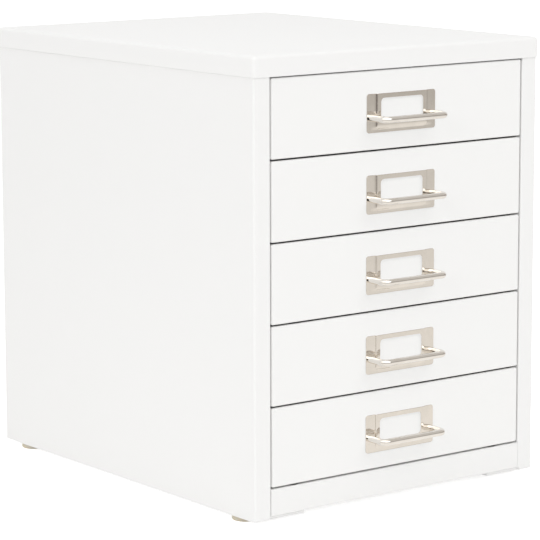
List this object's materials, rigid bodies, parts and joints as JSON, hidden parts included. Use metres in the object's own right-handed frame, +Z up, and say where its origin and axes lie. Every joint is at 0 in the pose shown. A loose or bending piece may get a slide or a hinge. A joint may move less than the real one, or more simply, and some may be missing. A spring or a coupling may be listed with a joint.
{
  "type": "desktop drawer cabinet",
  "caption": "Small painted sheet-steel desktop cabinet with equal sliding drawers, each with a nickel label frame and a bent-rod pull, standing on round feet.",
  "frame": {"origin": "on the standing surface, under the middle of the bounding box with the pulls included", "axes": "+X to the right seen from the front, +Y from the drawer fronts to the back, +Z up"},
  "size_m": [0.28, 0.37, 0.35],
  "materials": {
    "painted_body": "white satin powder coat",
    "painted_front": "white satin powder coat",
    "painted_tray": "white satin powder coat",
    "nickel_plate": "pressed sheet, satin nickel plating",
    "nickel_rod": "drawn rod, bright nickel plating",
    "zinc_steel": "bright zinc plating",
    "foot_plastic": "moulded translucent beige plastic"
  },
  "bodies": {
    "cabinet": {"top_cover": "painted_body", "back_panel": "painted_body", "base_panel": "painted_body", "front_bottom_rail": "painted_body", "foot_screws": "zinc_steel", "left_side_panel": "painted_body", "right_side_panel": "painted_body", "front_left_corner_plate": "painted_body", "front_right_corner_plate": "painted_body", "rear_left_corner_plate": "painted_body", "rear_right_corner_plate": "painted_body", "front_left_foot": "foot_plastic", "front_right_foot": "foot_plastic", "rear_left_foot": "foot_plastic", "rear_right_foot": "foot_plastic", "left_top_guide": "painted_body", "right_top_guide": "painted_body", "left_runner_1": "painted_body", "left_runner_2": "painted_body", "left_runner_3": "painted_body", "left_runner_4": "painted_body", "left_runner_5": "painted_body", "right_runner_1": "painted_body", "right_runner_2": "painted_body", "right_runner_3": "painted_body", "right_runner_4": "painted_body", "right_runner_5": "painted_body"},
    "drawer_1": {"drawer_1_tray": "painted_tray", "drawer_1_tray_back": "painted_tray", "drawer_1_front": "painted_front", "drawer_1_label_plate": "nickel_plate", "drawer_1_pull": "nickel_rod", "drawer_1_pull_nuts": "zinc_steel"},
    "drawer_2": {"drawer_2_tray": "painted_tray", "drawer_2_tray_back": "painted_tray", "drawer_2_front": "painted_front", "drawer_2_label_plate": "nickel_plate", "drawer_2_pull": "nickel_rod", "drawer_2_pull_nuts": "zinc_steel"},
    "drawer_3": {"drawer_3_tray": "painted_tray", "drawer_3_tray_back": "painted_tray", "drawer_3_front": "painted_front", "drawer_3_label_plate": "nickel_plate", "drawer_3_pull": "nickel_rod", "drawer_3_pull_nuts": "zinc_steel"},
    "drawer_4": {"drawer_4_tray": "painted_tray", "drawer_4_tray_back": "painted_tray", "drawer_4_front": "painted_front", "drawer_4_label_plate": "nickel_plate", "drawer_4_pull": "nickel_rod", "drawer_4_pull_nuts": "zinc_steel"},
    "drawer_5": {"drawer_5_tray": "painted_tray", "drawer_5_tray_back": "painted_tray", "drawer_5_front": "painted_front", "drawer_5_label_plate": "nickel_plate", "drawer_5_pull": "nickel_rod", "drawer_5_pull_nuts": "zinc_steel"}
  },
  "joints": [
    {"name": "drawer_1_slide", "type": "slide", "parent": "cabinet", "child": "drawer_1", "axis": [0, -1, 0], "range_m": [0, 0.2454]},
    {"name": "drawer_2_slide", "type": "slide", "parent": "cabinet", "child": "drawer_2", "axis": [0, -1, 0], "range_m": [0, 0.2454]},
    {"name": "drawer_3_slide", "type": "slide", "parent": "cabinet", "child": "drawer_3", "axis": [0, -1, 0], "range_m": [0, 0.2454]},
    {"name": "drawer_4_slide", "type": "slide", "parent": "cabinet", "child": "drawer_4", "axis": [0, -1, 0], "range_m": [0, 0.2454]},
    {"name": "drawer_5_slide", "type": "slide", "parent": "cabinet", "child": "drawer_5", "axis": [0, -1, 0], "range_m": [0, 0.2454]}
  ]
}
